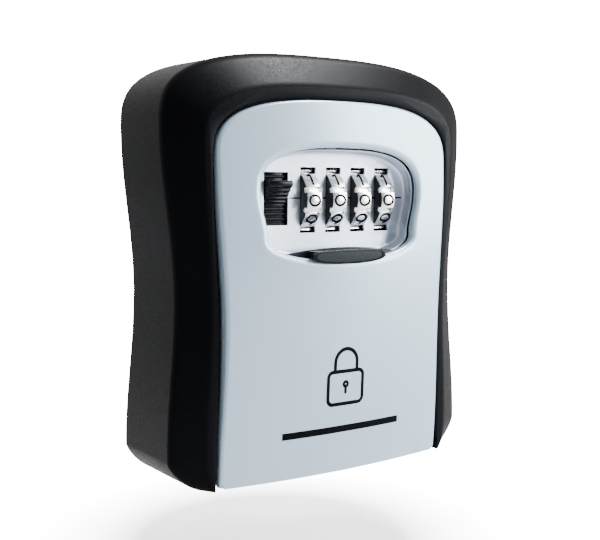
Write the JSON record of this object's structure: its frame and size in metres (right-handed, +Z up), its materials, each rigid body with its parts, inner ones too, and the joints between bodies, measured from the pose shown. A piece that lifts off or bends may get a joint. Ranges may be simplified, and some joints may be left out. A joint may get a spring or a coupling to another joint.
{
  "type": "key lock box",
  "caption": "Wall-mounted key safe: waisted case, drop-down door with number wheels, thumb-slide latch and sliding weather shutter.",
  "frame": {"origin": "centre of the flat back that goes against the wall, halfway up the case", "axes": "+Z up, -Y out through the door, +Y into the wall, +X to the right as seen from the front"},
  "size_m": [0.106, 0.0379, 0.12],
  "materials": {
    "case_black": "fine satin powder coat",
    "door_grey": "satin light blue-grey paint",
    "bezel_silver": "glossy silver plating",
    "wheel_chrome": "bright plating, dark printed numbers",
    "cam_brass": "machined",
    "detent_brass": "rolled strip",
    "zinc_steel": "zinc plated",
    "screw_steel": "zinc plated screw",
    "rivet_steel": "plain rivet",
    "spring_steel": "drawn wire",
    "housing_plastic": "textured moulding",
    "button_black": "gloss, ribbed",
    "shutter_slate": "satin",
    "tab_navy": "satin gloss",
    "inlay_slate": "satin pad",
    "slider_red": "satin"
  },
  "bodies": {
    "case": {"case_shell": "case_black", "strike_plate": "zinc_steel", "strike_screw_1": "screw_steel", "strike_screw_2": "screw_steel", "hinge_pin_left": "zinc_steel", "hinge_pin_right": "zinc_steel"},
    "door": {"door_cover": "door_grey", "dial_bezel": "bezel_silver", "lock_housing": "housing_plastic", "lock_cover": "housing_plastic", "dial_shaft": "zinc_steel", "shaft_clip": "spring_steel", "detent_spring": "detent_brass", "detent_screw": "screw_steel", "latch_spring": "spring_steel", "door_screw_1": "screw_steel", "door_screw_2": "screw_steel", "door_screw_3": "screw_steel", "door_screw_4": "screw_steel", "cover_screw_1": "screw_steel", "cover_screw_2": "screw_steel", "cover_screw_3": "screw_steel", "cover_screw_4": "screw_steel"},
    "wheel_1": {"number_wheel_1": "wheel_chrome", "gate_cam_1": "cam_brass"},
    "wheel_2": {"number_wheel_2": "wheel_chrome", "gate_cam_2": "cam_brass"},
    "wheel_3": {"number_wheel_3": "wheel_chrome", "gate_cam_3": "cam_brass"},
    "wheel_4": {"number_wheel_4": "wheel_chrome", "gate_cam_4": "cam_brass"},
    "latch": {"open_button": "button_black", "latch_plate": "zinc_steel", "fence_comb": "zinc_steel", "latch_rivet_1": "rivet_steel", "latch_rivet_2": "rivet_steel", "fence_rivet_1": "rivet_steel", "fence_rivet_2": "rivet_steel"},
    "shutter": {"shutter_plate": "shutter_slate", "shutter_tab": "tab_navy", "tab_inlay": "inlay_slate"},
    "reset": {"reset_slider": "slider_red"}
  },
  "joints": [
    {"name": "door_hinge", "type": "hinge", "parent": "case", "child": "door", "pos_m": [0, -0.026, -0.057], "axis": [1, 0, 0], "range_deg": [0, 100]},
    {"name": "wheel_1_turn", "type": "hinge", "parent": "door", "child": "wheel_1", "pos_m": [-0.00825, -0.022, 0.0188], "axis": [1, 0, 0], "continuous": true},
    {"name": "wheel_2_turn", "type": "hinge", "parent": "door", "child": "wheel_2", "pos_m": [0.00075, -0.022, 0.0188], "axis": [1, 0, 0], "continuous": true},
    {"name": "wheel_3_turn", "type": "hinge", "parent": "door", "child": "wheel_3", "pos_m": [0.00975, -0.022, 0.0188], "axis": [1, 0, 0], "continuous": true},
    {"name": "wheel_4_turn", "type": "hinge", "parent": "door", "child": "wheel_4", "pos_m": [0.01875, -0.022, 0.0188], "axis": [1, 0, 0], "continuous": true},
    {"name": "latch_slide", "type": "slide", "parent": "door", "child": "latch", "axis": [0, 0, 1], "range_m": [-0.005, 0.002], "stiffness_N_per_m": 200, "springref_m": 0.006, "deforming": ["latch_spring"]},
    {"name": "shutter_slide", "type": "slide", "parent": "door", "child": "shutter", "axis": [0, 0, 1], "range_m": [0, 0.0276]},
    {"name": "reset_slide", "type": "slide", "parent": "door", "child": "reset", "axis": [1, 0, 0], "range_m": [0, 0.005]}
  ]
}
